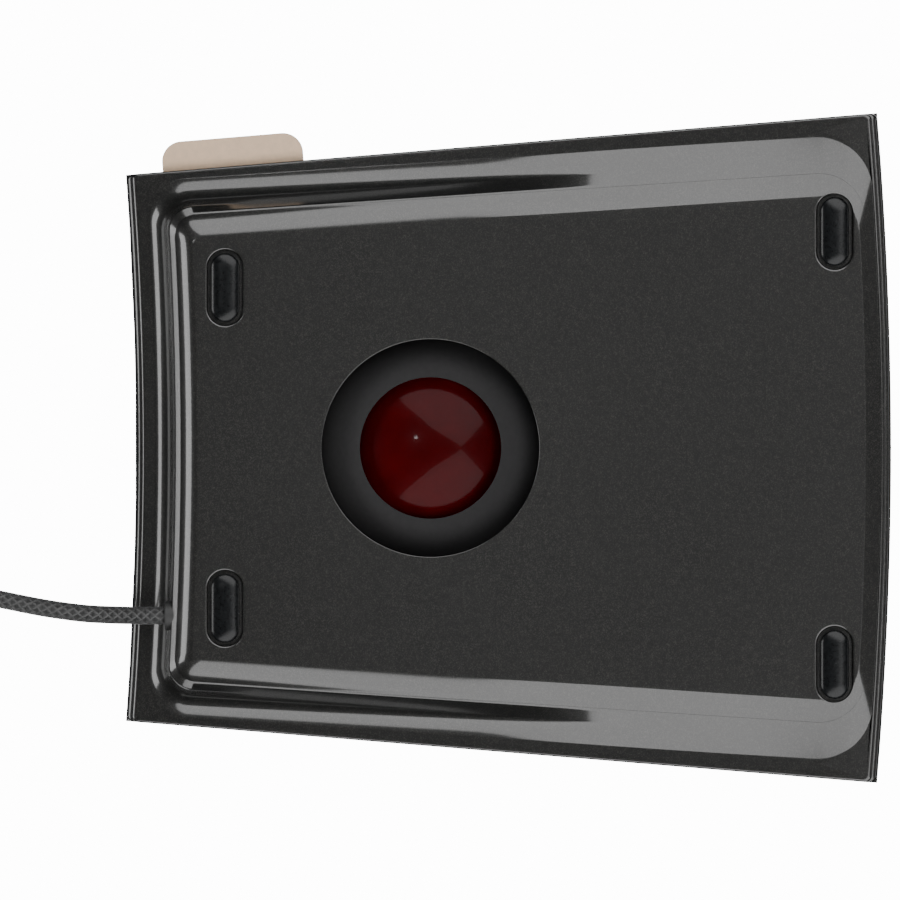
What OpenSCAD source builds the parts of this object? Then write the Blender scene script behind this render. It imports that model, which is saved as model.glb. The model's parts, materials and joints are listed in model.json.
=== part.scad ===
// Trackball mouse: a slim wedge case with four key plates round a large ball.
// +X is the user's right, +Y the rear where the cord leaves, +Z up, z = 0 the desk.

/* [Case outline] */
// Length from the front edge to the rear corners
case_l = 151.8; // [130:0.1:185]
// Width across the front corners
front_w = 132.6; // [115:0.1:160]
// Width across the rear corners
rear_w = 108.6; // [95:0.1:130]
// How far the front edge bows out at its middle
front_bow = 2.8; // [1:0.1:5]
// How far the rear edge bows in at its middle
rear_bow = 2; // [0.5:0.1:4]
// Wall of the top case
wall_t = 2.2; // [1.6:0.1:3]

/* [Case profile] */
// Height of the top surface at the front edge
lip_h = 8.5; // [7.5:0.1:10]
// Height of the top surface at the rear edge
rear_h = 30.5; // [28:0.1:36]
// How far the top bulges above a straight slope
crown_h = 6; // [4:0.1:8]
// How far the feet stand proud of the base
foot_proud = 1.2; // [0.8:0.1:1.8]
// How far the rear flange stands above the base pan
step_h = 12.5; // [10:0.1:14]
// How far the flange stands above the base pan at the front
front_step = 1.2; // [0.8:0.05:1.4]
// Where the step starts to rise, from the front edge
step_start = 8.5; // [7:0.5:14]
// Edge height of the lower case below the parting line
edge_t = 2; // [1.5:0.1:2.5]
// Deck of the top case under the keys
deck_t = 2; // [1.5:0.1:2.5]

/* [Base pan] */
// Case edge to the pan's flat, at the rear corners
pan_in_rear = 13.6; // [12:0.1:18]
// Case edge to the pan's flat, at the front corners
pan_in_front = 15.9; // [13:0.1:20]
// Rear corners of the case to the pan's flat
pan_back = 12.6; // [11:0.1:18]
// Front corners of the case to the pan's flat
pan_fore = 8; // [7:0.1:12]
// Plan width of the step wall along the sides
run_side = 12; // [10:0.1:13]
// Plan width of the step wall at the rear
run_rear = 8.7; // [7.5:0.1:10]
// Plan width of the step wall at the front
run_fore = 3; // [2:0.1:4]
// Radius of the pan's rounded rim
rim_r = 6.9; // [6:0.1:9]
// Radius of the fillet under the flange
fillet_r = 4.9; // [4.6:0.1:6]
// Thickness of the pan
pan_t = 2.2; // [1.6:0.1:2.6]
// Radius of the opening under the ball
pan_hole_r = 21.5; // [20:0.1:24]

/* [Ball and cup] */
// Diameter of the ball
ball_d = 55; // [50:0.1:57]
// Gap between the ball and the desk
ball_lift = 2; // [1.5:0.1:3]
// Distance of the ball's centre behind the middle of the case
ball_y = 15.3; // [12:0.1:18]
// Running gap between the ball and its cup
ball_gap = 0.8; // [0.5:0.1:1.2]
// Wall of the cup
cup_t = 2; // [1.5:0.1:2.4]
// Radius of the hole that the ball is pushed out through
eject_r = 14; // [12:0.1:15]
// Diameter of a support bearing
bearing_d = 2; // [1.6:0.1:2.2]
// Radial width of the bezel ring
bezel_w = 4.2; // [3:0.1:6]

/* [Keys] */
// Thickness of a key plate
plate_t = 2.4; // [2:0.1:2.8]
// Gap between a key plate and the deck
key_gap = 1; // [0.8:0.1:1.4]
// Width of the seam between two key plates
seam_w = 0.6; // [0.4:0.1:1]
// Diameter of a hinge pin
pin_d = 2; // [1.5:0.1:2.4]
// Radial running clearance on a hinge pin
pin_fit = 0.05; // [0.02:0.01:0.08]
// Hinge pins to the case edge at the front
hinge_in_front = 20; // [19:0.5:24]
// Hinge pins to the case edge at the rear
hinge_in_rear = 14; // [13:0.5:18]
// Switches to the centre line
switch_x = 39.5; // [38:0.1:40]
// Travel of a switch plunger
plunger_travel = 0.6; // [0.3:0.05:0.7]

/* [Feet and screws] */
// Length of a foot
foot_l = 13.6; // [10:0.1:16]
// Width of a foot
foot_w = 5.6; // [5:0.1:8]
// Rim of the recess round a foot
foot_rim = 1; // [0.6:0.1:1.4]
// Depth of a foot recess
recess_d = 0.8; // [0.5:0.1:1]
// Diameter of a case screw's shank
screw_d = 2.4; // [2:0.1:2.8]
// Diameter of a small screw's shank
small_screw_d = 1.6; // [1.2:0.1:2]

/* [Board] */
// Thickness of the main board
board_t = 1.6; // [1:0.1:2]
// Height of the board's underside above the desk
board_z = 7; // [6.5:0.1:7.5]
// Width of the main board
board_w = 86; // [84:0.5:88]

/* [Label card] */
// Length of the card along the case edge
card_l = 28.2; // [22:0.1:30]
// How far the card stands out at rest
card_out = 5.8; // [3:0.1:8]
// Length of the card inside the case
card_in = 17; // [15:0.5:18]
// Thickness of the card
card_t = 0.8; // [0.5:0.1:1]
// Gap above and below the card in its slot
card_gap = 0.3; // [0.2:0.05:0.4]

/* [Cord] */
// Diameter of the cord
cord_d = 3.5; // [3:0.1:4]
// Width of the cord's grommet
grommet_d = 5.8; // [5:0.1:6.4]
// Distance of the cord to the right of the centre line
cord_x = 33.2; // [30:0.1:35]
// Height of the cord where it leaves the rear wall
cord_z = 7; // [6.5:0.1:8]

/* [Hidden] */
$fn = 96;

ARC_FN = 720;     // sides of the large circles that shape the outline and the top
TALL = 60;        // taller than the case, for prisms that are cut down
WIDE = 200;       // wider than the case
EDGE_STEPS = 10;  // parts of a straight edge in the pan's lofts
CORNER_STEPS = 7; // parts of a corner in the pan's lofts
SNUG = 0.12;      // gap between fixed pieces

base_z = foot_proud;
half_l = case_l / 2;
step_y = -half_l + step_start;
side_slope = (front_w - rear_w) / 2 / (case_l - front_bow);
ball_r = ball_d / 2;
ball_z = ball_lift + ball_r;
cup_in_r = ball_r + ball_gap;
cup_out_r = cup_in_r + cup_t;
cup_top = 19;
bezel_in_r = ball_r + 1.3;
bezel_out_r = bezel_in_r + bezel_w;
deck_hole_r = cup_out_r + 1;
key_drop = plate_t + key_gap;
hinge_drop = key_drop + deck_t + 1.9;

// ---- surfaces ----

// Circle through the front edge, the crowned middle and the rear edge of the top
function circle_at(a, m, b) =
    let (k = 2 * (a.x * (m.y - b.y) + m.x * (b.y - a.y) + b.x * (a.y - m.y)))
    [(a * a * (m.y - b.y) + m * m * (b.y - a.y) + b * b * (a.y - m.y)) / k,
     (a * a * (b.x - m.x) + m * m * (a.x - b.x) + b * b * (m.x - a.x)) / k];
top_mid = (lip_h + rear_h) / 2 + crown_h;
top_c = circle_at([-half_l, lip_h], [0, top_mid], [half_l, rear_h]);
top_r = norm([half_l, rear_h] - top_c);
function top_z(y) = top_c.y + sqrt(top_r * top_r - pow(y - top_c.x, 2));
step_slope = (step_h - front_step) / (half_l - step_y);
function step_at(y) = front_step + step_slope * max(0, y - step_y);
function flange_z(y) = base_z + step_at(y);

// Rise of the step wall across its plan width, from 0 at the pan's flat to 1 at the flange
STEP_REF = 11;      // step height at which the rim and fillet have their true radii
rim_f = 0.385;      // where the pan's rim ends
wall_f = 0.42;      // where the steep wall starts
fillet_f = 0.61;    // where the fillet under the flange starts
function rim_rise(f) = rim_r - sqrt(rim_r * rim_r - pow(f * run_side, 2));
function fillet_fall(f) = fillet_r - sqrt(max(0, fillet_r * fillet_r - pow((1 - f) * run_side, 2)));
function steep_rise(f) =
    f <= rim_f ? rim_rise(f) / STEP_REF
    : f <= wall_f ? rim_rise(rim_f) / STEP_REF
    : f >= fillet_f ? 1 - fillet_fall(f) / STEP_REF
    : let (low = rim_rise(rim_f) / STEP_REF, high = 1 - fillet_fall(fillet_f) / STEP_REF)
      low + (high - low) * (f - wall_f) / (fillet_f - wall_f);

// Towards the front the steep wall eases into a plain ramp
EASE_FROM = 10;
EASE_TO = -30;
REAR_RAMP = 0.12; // share of the ramp in the wall at the rear
function ramp_share(y) =
    let (t = min(1, max(0, (EASE_FROM - y) / (EASE_FROM - EASE_TO))))
    REAR_RAMP + (1 - REAR_RAMP) * t * t * (3 - 2 * t);
function wall_z(f, y) =
    base_z + step_at(y) * (steep_rise(f) * (1 - ramp_share(y)) + f * ramp_share(y));
// Side profile of the line at f, raised by lift, from front to rear
PROFILE_STEPS = 16;
function wall_line(f, lift) =
    [for (i = [0:PROFILE_STEPS]) let (y = -half_l - 1 + (case_l + 2) * i / PROFILE_STEPS)
        [y, wall_z(f, y) + lift]];

// ---- outline ----

function half_w(y) = rear_w / 2 + (half_l - y) * side_slope;
front_arc_r = (pow(front_w / 2, 2) + pow(front_bow, 2)) / (2 * front_bow);
rear_arc_r = (pow(rear_w / 2, 2) + pow(rear_bow, 2)) / (2 * rear_bow);

module outline(inset = 0) {
    over = half_l + 5;
    side_in = inset * sqrt(1 + side_slope * side_slope);
    difference() {
        intersection() {
            polygon([[half_w(-over) - side_in, -over], [half_w(over) - side_in, over],
                [-half_w(over) + side_in, over], [-half_w(-over) + side_in, -over]]);
            translate([0, -half_l + front_arc_r]) circle(r = front_arc_r - inset, $fn = ARC_FN);
        }
        translate([0, half_l - rear_bow + rear_arc_r]) circle(r = rear_arc_r + inset, $fn = ARC_FN);
    }
}

module outline_prism(inset = 0, low = 0, high = TALL) {
    translate([0, 0, low]) linear_extrude(high - low) outline(inset);
}

// A side profile, given as [y, z] points, carried across the case
module profile_prism(points, wide = WIDE) {
    rotate([90, 0, 90]) linear_extrude(wide, center = true) polygon(points);
}

module under_top(drop) {
    translate([0, top_c.x, top_c.y]) rotate([0, 90, 0])
        cylinder(r = top_r - drop, h = WIDE, center = true, $fn = ARC_FN);
}

// Everything above the flange's underside, raised by lift
module above_flange(lift) {
    far = half_l + 5;
    profile_prism([[-far, flange_z(-far) + lift], [step_y, flange_z(step_y) + lift], [far, flange_z(far) + lift],
        [far, TALL], [-far, TALL]]);
}

// Corners of the step wall's plan at f, from the rear right round to the front right
pan_slope = (half_w(-half_l) - pan_in_front - half_w(half_l) + pan_in_rear) / case_l;
function pan_x(f, y) = half_w(half_l) - pan_in_rear + (half_l - y) * pan_slope + f * run_side;
function pan_corners(f) =
    let (back = half_l - pan_back + f * run_rear, fore = -half_l + pan_fore - f * run_fore)
    [[pan_x(f, back), back], [-pan_x(f, back), back], [-pan_x(f, fore), fore], [pan_x(f, fore), fore]];
function corner_r(f, k) = k < 2 ? max(0.6, 2 + 6.4 * f) : 7 + 3 * f;

// Arc at corner p between its neighbours a and b
function corner_arc(a, p, b, r) =
    let (u = (a - p) / norm(a - p), v = (b - p) / norm(b - p), half = acos(u * v) / 2,
        c = p + (u + v) / norm(u + v) * r / sin(half), s = p + u * r / tan(half) - c,
        e = p + v * r / tan(half) - c, turn = 180 - 2 * half)
    [for (i = [0:CORNER_STEPS]) let (t = turn * i / CORNER_STEPS)
        c + [s.x * cos(t) - s.y * sin(t), s.x * sin(t) + s.y * cos(t)]];
function between(a, b) = [for (i = [1:EDGE_STEPS - 1]) a + (b - a) * i / EDGE_STEPS];

// The rear and front edges follow the bows of the case
function bowed(p) =
    let (s = max(0, 1 - pow(p.x / half_w(p.y), 2)), back = min(1, max(0, (p.y - 20) / 40)),
        fore = min(1, max(0, (-p.y - 40) / 25)))
    [p.x, p.y - (rear_bow * back + front_bow * fore) * s];
function loop(c, r) =
    let (arcs = [for (k = [0:3]) corner_arc(c[(k + 3) % 4], c[k], c[(k + 1) % 4], r[k])])
    [for (k = [3:-1:0]) for (p = concat(between(arcs[(k + 1) % 4][0], arcs[k][CORNER_STEPS]),
        [for (i = [CORNER_STEPS:-1:0]) arcs[k][i]])) bowed(p)];
function pan_plan(f) = loop(pan_corners(f), [for (k = [0:3]) corner_r(f, k)]);
EDGE_R = 0.8; // corners of the lower case
function edge_plan(inset) =
    let (back = half_l - inset, fore = front_bow - half_l + inset, xb = half_w(back) - inset,
        xf = half_w(fore) - inset)
    loop([[xb, back], [-xb, back], [-xf, fore], [xf, fore]], [for (k = [0:3]) EDGE_R - inset]);

// A closed loft through rings of [x, y, z] points that all have the same count
module loft(rings) {
    n = len(rings[0]);
    m = len(rings);
    polyhedron(
        points = [for (r = rings) each r],
        faces = concat([[for (i = [n - 1:-1:0]) i]],
            [for (j = [0:m - 2]) for (i = [0:n - 1]) for (t = [0, 1])
                t == 0 ? [j * n + i, j * n + (i + 1) % n, (j + 1) * n + (i + 1) % n]
                : [j * n + i, (j + 1) * n + (i + 1) % n, (j + 1) * n + i]],
            [[for (i = [0:n - 1]) (m - 1) * n + i]]),
        convexity = 6);
}

// A band swept through rings, of which the last meets the first
module ring_loft(rings) {
    n = len(rings[0]);
    m = len(rings);
    polyhedron(
        points = [for (r = rings) each r],
        faces = [for (j = [0:m - 1]) for (i = [0:n - 1]) for (t = [0, 1])
            let (a = j * n, b = (j + 1) % m * n, k = (i + 1) % n)
            t == 0 ? [a + i, a + k, b + k] : [a + i, b + k, b + i]],
        convexity = 6);
}

function flat_ring(f, z) = [for (p = pan_plan(f)) [p.x, p.y, z]];
function wall_ring(f, lift = 0, at = undef) =
    [for (p = pan_plan(f)) [p.x, p.y, wall_z(at == undef ? f : at, p.y) + lift]];

// ---- shared shapes ----

module slot_shape(l, w, h) {
    for (s = [-1, 1]) translate([s * (l - w) / 2, 0, 0]) cylinder(d = w, h = h, $fn = 48);
    translate([-(l - w) / 2, -w / 2, 0]) cube([l - w, w, h]);
}

module sided(side) {
    mirror([side < 0 ? 1 : 0, 0, 0]) children();
}

module screw(shank_d, shank_l, head_d, head_h) {
    difference() {
        cylinder(d = head_d, h = head_h, $fn = 32);
        for (a = [0, 90]) rotate(a)
            translate([-head_d / 3, -head_d / 12, -1]) cube([head_d / 1.5, head_d / 6, 1 + head_h / 2]);
    }
    translate([0, 0, head_h]) cylinder(d = shank_d, h = shank_l, $fn = 32);
}

// A tube swept along points, with its rings square to the route
function toward(p, i) =
    let (a = p[max(0, i - 1)], b = p[min(len(p) - 1, i + 1)]) (b - a) / norm(b - a);
function smooth_route(p, per) =
    [for (i = [0:len(p) - 2]) for (k = [0:per - 1])
        let (t = k / per, a = p[max(0, i - 1)], b = p[i], c = p[i + 1], d = p[min(len(p) - 1, i + 2)])
        0.5 * (2 * b + (c - a) * t + (2 * a - 5 * b + 4 * c - d) * t * t
            + (3 * b - a - 3 * c + d) * t * t * t), p[len(p) - 1]];
module tube(route, d, sides = 8) {
    loft([for (i = [0:len(route) - 1])
        let (w = toward(route, i), side = cross(w, [0, 0, 1]) / norm(cross(w, [0, 0, 1])),
            rise = cross(side, w))
        [for (k = [0:sides - 1]) let (a = 360 * (k + 0.5) / sides)
            route[i] + d / 2 * (cos(a) * side + sin(a) * rise)]]);
}

// ---- places ----

rear_foot = [31.7, half_l - 20];
front_foot = [42.8, -half_l + 11.3];
feet = [for (p = [rear_foot, front_foot]) for (s = [-1, 1]) [s * p.x, p.y]];
SCREW_IN = 4; // a case screw sits this far inwards of its foot's middle
case_screw_at = [for (p = feet) [p.x - sign(p.x) * SCREW_IN, p.y]];
head_h = 1.3;
boss_z = base_z + recess_d + head_h + 1.7;
hinge_y = [-half_l + hinge_in_front, half_l - hinge_in_rear];
function hinge_z(y) = top_z(y) - hinge_drop;
lug_x = [16, 46];
lug_x_rear = [16, 38];
LUG_W = 4;
LUG_R = 2.3;
BOSS_W = 3;
function lugs(y) = y < 0 ? lug_x : lug_x_rear;
switch_y = [2, ball_y + 13.3];
switch_size = [5.8, 12.8, 6.5];
switch_top = board_z + board_t + switch_size.z;
PLUNGER_OUT = 1;
cup_ear_r = 33;
cup_ear_z = 13;
EAR_T = 2;
ear_angles = [45, 135, 225, 315];
board_back = 50;
board_front = -26;
BOARD_HOLE_R = 36;
board_screw_at = [for (s = [-1, 1]) for (y = [board_front + 4, board_back - 4]) [s * (board_w / 2 - 4), y]];
SENSOR_TILT = 125; // a sensor looks at the ball from this angle off the vertical
sensor_board_r = cup_out_r + 4.3;
module at_sensor(side) {
    translate([0, ball_y, ball_z]) rotate([0, side * SENSOR_TILT, 0]) children();
}
bearing_r = ball_r + bearing_d / 2 + 0.05;
bearing_angles = [90, 210, 330];
BEARING_TILT = 130; // a bearing stands at this angle off the vertical
module at_bearing(angle) {
    translate([0, ball_y, ball_z]) rotate(angle) rotate([0, BEARING_TILT, 0]) children();
}
bezel_screw_r = bezel_in_r + bezel_w / 2;
bezel_screw_angles = [90, 210, 330];
grommet_back = 68;
grommet_front = 59;
NECK_L = 4;         // the grommet's neck, which the clamp holds down

card_y = half_l - 21.3;
CARD_UP = 0.9;      // the card's slot starts this far above the parting line
CARD_RIM = 1.6;     // the guide stands this far out beside the card
GUIDE_T = 0.7;      // floor and roof of the guide
LEG_IN = 18;        // the guide's legs to the case edge
leg_y = [card_y - 2, card_y + 3];

// ---- case ----

module base_pan() color([0.2, 0.2, 0.19]) {
    rings = [for (i = [0:5]) wall_ring(rim_f * i / 5)];
    difference() {
        union() {
            difference() {
                intersection() {
                    loft(concat([flat_ring(0, base_z - 4)], rings, [flat_ring(rim_f, base_z + 8)]));
                    profile_prism(concat([[half_l + 1, base_z], [-half_l - 1, base_z]], wall_line(rim_f, pan_t)));
                }
                translate([0, 0, base_z + pan_t]) linear_extrude(TALL) polygon(pan_plan(0.03));
            }
            for (p = case_screw_at) translate([p.x, p.y, base_z + pan_t / 2])
                cylinder(r = 3.2, h = boss_z - base_z - pan_t / 2);
            for (p = board_screw_at) translate([p.x, p.y, base_z + pan_t / 2])
                cylinder(r = 2.4, h = board_z - base_z - pan_t / 2);
            for (a = ear_angles) translate([0, ball_y, 0]) rotate(a) translate([cup_ear_r, 0, base_z + pan_t / 2])
                cylinder(r = 2.6, h = cup_ear_z - base_z - pan_t / 2);
            translate([0, ball_y, base_z + pan_t / 2]) cylinder(r = pan_hole_r + 1.5, h = 5);
        }
        translate([0, ball_y, 0]) cylinder(r = pan_hole_r, h = TALL);
        for (p = feet) translate([p.x, p.y, base_z - 1])
            slot_shape(foot_l + 2 * foot_rim, foot_w + 2 * foot_rim, 1 + recess_d);
        for (p = case_screw_at) translate([p.x, p.y, 0]) {
            cylinder(d = screw_d + 0.2, h = TALL);
            cylinder(d = 2 * screw_d, h = base_z + recess_d + head_h + SNUG);
        }
        grommet_hole();
        for (p = board_screw_at) translate([p.x, p.y, board_z - 3])
            cylinder(d = small_screw_d, h = TALL);
        for (a = ear_angles) translate([0, ball_y, cup_ear_z - 6]) rotate(a) translate([cup_ear_r, 0, 0])
            cylinder(d = small_screw_d, h = TALL);
    }
}

module grommet_hole() {
    translate([cord_x, grommet_front + NECK_L, cord_z]) rotate([-90, 0, 0])
        cylinder(d = grommet_d + 0.1, h = 20);
    translate([cord_x, grommet_front, cord_z]) rotate([-90, 0, 0]) cylinder(d = grommet_d - 1.2, h = 20);
}

WALL_STOPS = [0.42, 0.47, 0.52, 0.565, 0.61, 0.68, 0.75, 0.82, 0.89, 0.95, 1];
SEAT_F = rim_f + 0.012; // the wall starts here, beside the pan's rim
SKIN_F = 0.13;          // plan share between the two faces of the wall
SKIN_H = 1.2;           // and their distance in height
EDGE_CUT = 0.6;         // chamfer of the flange's lower edge
function edge_ring(inset, lift) = [for (p = edge_plan(inset)) [p.x, p.y, flange_z(p.y) + lift]];
module lower_case() color([0.24, 0.24, 0.24]) {
    inner = [for (i = [len(WALL_STOPS) - 1:-1:3]) WALL_STOPS[i]];
    difference() {
        ring_loft(concat([wall_ring(SEAT_F)], [for (f = WALL_STOPS) wall_ring(f)],
            [edge_ring(EDGE_CUT, 0), edge_ring(0, EDGE_CUT), edge_ring(0, edge_t)],
            [wall_ring(1 - SKIN_F, edge_t, 1)], [for (f = inner) wall_ring(f - SKIN_F, SKIN_H, f)],
            [wall_ring(SEAT_F, SKIN_H, SEAT_F + SKIN_F)]));
        grommet_hole();
    }
}

// Frame of the label card: x out of the left side, y along the case edge, z off the flange
module at_card() {
    translate([-half_w(card_y), card_y, flange_z(card_y) + edge_t + CARD_UP]) rotate([atan(step_slope), 0, 0])
        rotate(-atan(side_slope)) children();
}

module top_case() color([0.24, 0.24, 0.24]) {
    difference() {
        union() {
            difference() {
                intersection() {
                    outline_prism();
                    above_flange(edge_t + SNUG / 2);
                    under_top(key_drop);
                }
                intersection() {
                    outline_prism(wall_t, -1);
                    under_top(key_drop + deck_t);
                }
            }
            intersection() {
                union() {
                    for (p = case_screw_at) translate([p.x, p.y, boss_z + SNUG])
                        cylinder(r = 3, h = TALL);
                    for (y = hinge_y) for (x = lugs(y)) for (s = [-1, 1]) for (k = [-1, 1])
                        translate([s * x + k * (LUG_W / 2 + 0.3 + BOSS_W / 2) - BOSS_W / 2, y - 2.5,
                            hinge_z(y) - 2.4])
                            cube([BOSS_W, 5, TALL]);
                }
                outline_prism(wall_t / 2);
                under_top(key_drop + deck_t / 2);
            }
        }
        translate([0, ball_y, 0]) cylinder(r = deck_hole_r, h = TALL);
        for (y = hinge_y) {
            for (x = lugs(y)) for (s = [-1, 1])
                translate([s * x - LUG_W / 2 - 0.3, y - LUG_R - 0.5, hinge_z(y) - LUG_R - 0.4])
                    cube([LUG_W + 0.6, 2 * LUG_R + 1, TALL]);
            translate([0, y, hinge_z(y)]) rotate([0, 90, 0])
                cylinder(d = pin_d, h = 2 * (lugs(y)[1] + LUG_W / 2 + BOSS_W + 1), center = true, $fn = 32);
        }
        for (y = switch_y) for (s = [-1, 1]) translate([s * switch_x, y, 0]) cylinder(r = 2.4, h = TALL);
        for (p = case_screw_at) translate([p.x, p.y, 0])
            cylinder(d = screw_d, h = min(top_z(p.y) - key_drop - 0.6, boss_z + 8));
        translate([0, ball_y, 0]) for (a = bezel_screw_angles) rotate(a) translate([bezel_screw_r, 0, 0])
            cylinder(d = small_screw_d + 0.2, h = TALL);
        at_card() translate([-8, -card_l / 2 - card_gap, -1])
            cube([16, card_l + 2 * card_gap, 1 + card_t + 2 * card_gap]);
    }
}

// ---- keys ----

// side is -1 for left and 1 for right, end 0 for front and 1 for rear
module key_plate(side, end) color([0.24, 0.24, 0.24]) sided(side) {
    y = hinge_y[end];
    low = end == 0 ? -half_l - 2 : ball_y + seam_w / 2;
    high = end == 0 ? ball_y - seam_w / 2 : half_l + 2;
    difference() {
        union() {
            intersection() {
                outline_prism(0.15);
                translate([seam_w / 2, low, 0]) cube([WIDE / 2, high - low, TALL]);
                difference() {
                    under_top(0);
                    under_top(plate_t);
                }
            }
            intersection() {
                for (x = lugs(y)) translate([x - LUG_W / 2, y, hinge_z(y)]) {
                    rotate([0, 90, 0]) cylinder(r = LUG_R, h = LUG_W);
                    translate([0, -LUG_R, 0]) cube([LUG_W, 2 * LUG_R, TALL]);
                }
                under_top(plate_t / 2);
            }
            intersection() {
                translate([switch_x, switch_y[end], switch_top + PLUNGER_OUT + 0.05])
                    cylinder(r = 1.5, h = TALL, $fn = 32);
                under_top(plate_t / 2);
            }
        }
        translate([0, ball_y, 0]) cylinder(r = bezel_out_r + 0.4, h = TALL);
        translate([0, y, hinge_z(y)]) rotate([0, 90, 0])
            cylinder(d = pin_d + 2 * pin_fit, h = WIDE, center = true, $fn = 32);
    }
}
module key_front_left() key_plate(-1, 0);
module key_front_right() key_plate(1, 0);
module key_rear_left() key_plate(-1, 1);
module key_rear_right() key_plate(1, 1);

module key_hinge_pins() color([0.7, 0.7, 0.72])
    for (y = hinge_y) for (x = lugs(y)) for (s = [-1, 1])
        translate([s * x, y, hinge_z(y)]) rotate([0, 90, 0])
            cylinder(d = pin_d, h = LUG_W + 2 * BOSS_W, center = true, $fn = 32);

module bezel_ring() color([0.12, 0.12, 0.12]) difference() {
    intersection() {
        translate([0, ball_y, 0]) cylinder(r = bezel_out_r, h = TALL);
        difference() {
            under_top(-0.9);
            under_top(key_drop - SNUG);
        }
    }
    translate([0, ball_y, 0]) cylinder(r = bezel_in_r, h = TALL);
    translate([0, ball_y, 0]) for (a = bezel_screw_angles) rotate(a) translate([bezel_screw_r, 0, 0])
        cylinder(d = small_screw_d, h = top_z(ball_y + bezel_screw_r * sin(a)) - 1);
}

module bezel_screws() color([0.6, 0.6, 0.6])
    translate([0, ball_y, 0]) for (a = bezel_screw_angles) rotate(a)
        translate([bezel_screw_r, 0, top_z(ball_y + bezel_screw_r * sin(a)) - key_drop - deck_t - 1.9])
            screw(small_screw_d, 4.4, 2 * small_screw_d, 1);

// ---- ball and cup ----

module ball() color([0.45, 0.05, 0.07]) translate([0, ball_y, ball_z]) sphere(r = ball_r, $fn = 128);

module ball_cup() color([0.09, 0.09, 0.09]) difference() {
    union() {
        intersection() {
            translate([0, ball_y, ball_z]) sphere(r = cup_out_r, $fn = 128);
            translate([0, ball_y, 0]) cylinder(r = WIDE / 2, h = cup_top);
        }
        for (a = ear_angles) translate([0, ball_y, cup_ear_z + SNUG / 2]) rotate(a) {
            translate([20, -2.6, 0]) cube([cup_ear_r - 20, 5.2, EAR_T]);
            translate([cup_ear_r, 0, 0]) cylinder(r = 2.6, h = EAR_T);
        }
        for (s = [-1, 1]) at_sensor(s) for (y = [-6, 6]) translate([0, y, cup_in_r - 1])
            cylinder(r = 1.7, h = sensor_board_r - cup_in_r + 1);
    }
    translate([0, ball_y, ball_z]) sphere(r = cup_in_r, $fn = 128);
    translate([0, ball_y, 0]) cylinder(r = eject_r, h = ball_z);
    for (s = [-1, 1]) at_sensor(s) {
        cylinder(r = 3, h = cup_out_r + 1);
        for (y = [-6, 6]) translate([0, y, sensor_board_r - 3]) cylinder(d = small_screw_d, h = 6);
    }
    for (a = ear_angles) translate([0, ball_y, 0]) rotate(a) translate([cup_ear_r, 0, 0])
        cylinder(d = small_screw_d + 0.2, h = TALL);
    for (a = bearing_angles) at_bearing(a) translate([0, 0, ball_r + ball_gap / 2])
        cylinder(d = bearing_d, h = bearing_d - 0.2);
}

module support_bearings() color([0.75, 0.1, 0.15])
    for (a = bearing_angles) at_bearing(a) translate([0, 0, bearing_r]) sphere(d = bearing_d - 0.04, $fn = 32);

module cup_screws() color([0.6, 0.6, 0.6])
    for (a = ear_angles) translate([0, ball_y, cup_ear_z + EAR_T + 0.1]) rotate(a) translate([cup_ear_r, 0, 1])
        rotate([180, 0, 0]) screw(small_screw_d, 7, 2 * small_screw_d, 1);

// ---- feet and case screws ----

module foot(p) color([0.05, 0.05, 0.05])
    translate([p.x, p.y, 0]) slot_shape(foot_l, foot_w, base_z + recess_d);
module foot_rear_left() foot(feet[0]);
module foot_rear_right() foot(feet[1]);
module foot_front_left() foot(feet[2]);
module foot_front_right() foot(feet[3]);

module case_screws() color([0.6, 0.6, 0.6])
    for (p = case_screw_at) translate([p.x, p.y, base_z + recess_d + 0.02])
        screw(screw_d, min(top_z(p.y) - key_drop - 1 - boss_z + 1.7, 8), 1.8 * screw_d, head_h);

// ---- board ----

module main_board() color([0.05, 0.3, 0.12]) difference() {
    translate([-board_w / 2, board_front, board_z]) cube([board_w, board_back - board_front, board_t]);
    translate([0, ball_y, 0]) cylinder(r = BOARD_HOLE_R, h = TALL);
    for (p = board_screw_at) translate([p.x, p.y, 0]) cylinder(d = small_screw_d + 0.2, h = TALL);
}

module board_screws() color([0.6, 0.6, 0.6])
    for (p = board_screw_at) translate([p.x, p.y, board_z + board_t + 1]) rotate([180, 0, 0])
        screw(small_screw_d, 4.2, 2 * small_screw_d, 1);

board_top = board_z + board_t;
module controller_chip() color([0.1, 0.1, 0.1]) {
    translate([20, board_front + 1, board_top]) cube([9, 9, 1.4]);
}

module board_parts() color([0.6, 0.5, 0.3]) {
    for (i = [0:5]) translate([-30 + 5 * i, board_front + 2, board_top]) cube([2, 1.2, 0.8]);
    translate([8, board_front + 1, board_top]) cube([5, 3.2, 1.6]);
    for (x = [-37, 35]) translate([x, board_front + 14, board_top]) cylinder(d = 4, h = 4.5);
}

module sounder() color([0.1, 0.1, 0.1]) translate([-30, board_back - 6, board_top]) difference() {
    cylinder(d = 9, h = 4);
    translate([0, 0, 2]) cylinder(d = 1.6, h = 3, $fn = 32);
}

module micro_switches() color([0.15, 0.15, 0.17])
    for (y = switch_y) for (s = [-1, 1]) translate([s * switch_x, y, board_top]) difference() {
        translate([-switch_size.x / 2, -switch_size.y / 2, 0]) cube(switch_size);
        translate([-0.95, -1.45, switch_size.z - 2.2]) cube([1.9, 2.9, 3]);
    }

module plunger(side, end) color([0.8, 0.15, 0.1])
    translate([side * switch_x - 0.8, switch_y[end] - 1.3, switch_top - 1.4])
        cube([1.6, 2.6, 1.4 + PLUNGER_OUT]);
module plunger_front_left() plunger(-1, 0);
module plunger_front_right() plunger(1, 0);
module plunger_rear_left() plunger(-1, 1);
module plunger_rear_right() plunger(1, 1);

// ---- sensors ----

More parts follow.
